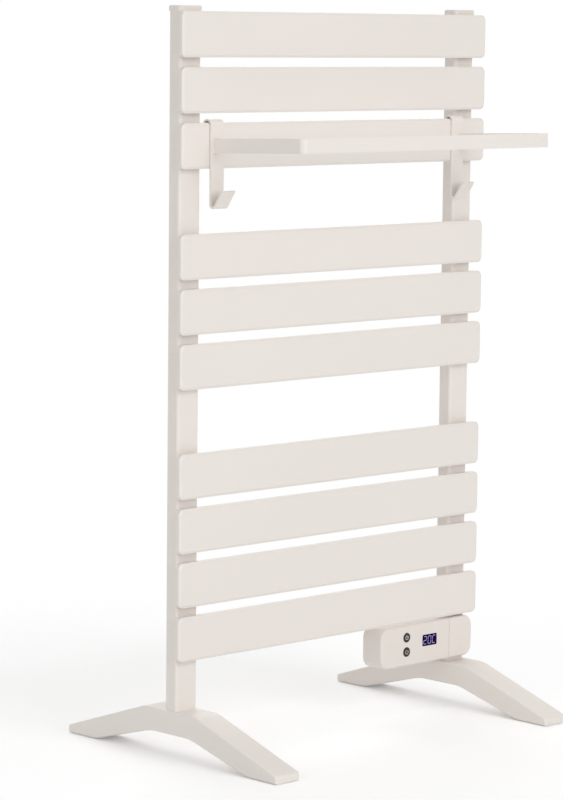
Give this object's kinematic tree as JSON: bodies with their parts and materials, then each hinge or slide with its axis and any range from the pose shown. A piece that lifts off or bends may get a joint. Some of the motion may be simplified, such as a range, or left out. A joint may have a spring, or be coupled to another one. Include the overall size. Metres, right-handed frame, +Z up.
{
  "type": "heated towel rail",
  "caption": "Free-standing electric towel rail: flat heated slats on two uprights with arched feet, a control box and a lift-off rack with hooks.",
  "frame": {"origin": "on the floor, midway between the feet and under the centre line of the uprights", "axes": "+X to the viewer's right seen from the front, +Y to the rear, +Z up"},
  "size_m": [0.56, 0.4, 0.964],
  "materials": {
    "coated_aluminium": "cream powder coat over extruded aluminium, satin",
    "coated_casting": "cream powder coat over cast aluminium, satin",
    "coated_steel": "cream powder coat, satin",
    "cream_plastic": "moulded, fine matt",
    "bare_aluminium": "sawn extrusion, bare",
    "heating_silicone": "silicone rubber sheet",
    "pad_rubber": "moulded rubber",
    "screw_steel": "zinc plated",
    "gland_plastic": "moulded, fine matt",
    "window_acrylic": "polished dark blue acrylic",
    "module_plastic": "moulded",
    "board_laminate": "solder resist",
    "button_plastic": "soft-touch, pale printed mark",
    "loom_sleeve": "braided sleeve"
  },
  "bodies": {
    "stand": {"slat_01": "coated_aluminium", "slat_02": "coated_aluminium", "slat_03": "coated_aluminium", "slat_04": "coated_aluminium", "slat_05": "coated_aluminium", "slat_06": "coated_aluminium", "slat_07": "coated_aluminium", "slat_08": "coated_aluminium", "slat_09": "coated_aluminium", "slat_10": "coated_aluminium", "heater_01": "heating_silicone", "heater_02": "heating_silicone", "heater_03": "heating_silicone", "heater_04": "heating_silicone", "heater_05": "heating_silicone", "heater_06": "heating_silicone", "heater_07": "heating_silicone", "heater_08": "heating_silicone", "heater_09": "heating_silicone", "heater_10": "heating_silicone", "slat_end_caps_left": "coated_aluminium", "slat_end_caps_right": "coated_aluminium", "upright_left": "coated_aluminium", "upright_right": "coated_aluminium", "upright_cap_left": "cream_plastic", "upright_cap_right": "cream_plastic", "slat_spacers_left": "cream_plastic", "slat_spacers_right": "cream_plastic", "upright_insert_left": "bare_aluminium", "upright_insert_right": "bare_aluminium", "foot_left": "coated_casting", "foot_right": "coated_casting", "foot_pads": "pad_rubber", "foot_screws": "screw_steel", "control_housing": "cream_plastic", "control_collar": "cream_plastic", "rear_cover": "cream_plastic", "cover_screws": "screw_steel", "cord_gland": "gland_plastic", "display_window": "window_acrylic", "display_module": "module_plastic", "circuit_board": "board_laminate", "push_switches": "module_plastic", "relay": "module_plastic", "power_module": "module_plastic", "terminal_block": "module_plastic", "wiring_loom": "loom_sleeve"},
    "rack": {"hanger_left": "coated_steel", "hanger_right": "coated_steel", "rack_frame": "coated_steel", "rack_rod": "coated_steel"},
    "upper_button": {"button_upper": "button_plastic"},
    "power_button": {"button_power": "button_plastic"}
  },
  "joints": [
    {"name": "rack_lift", "type": "slide", "parent": "stand", "child": "rack", "axis": [0, 0, 1], "range_m": [0, 0.007]},
    {"name": "upper_button_press", "type": "slide", "parent": "stand", "child": "upper_button", "axis": [0, 1, 0], "range_m": [0, 0.0006], "stiffness_N_per_m": 500, "springref_m": -0.0005},
    {"name": "power_button_press", "type": "slide", "parent": "stand", "child": "power_button", "axis": [0, 1, 0], "range_m": [0, 0.0006], "stiffness_N_per_m": 500, "springref_m": -0.0005}
  ]
}
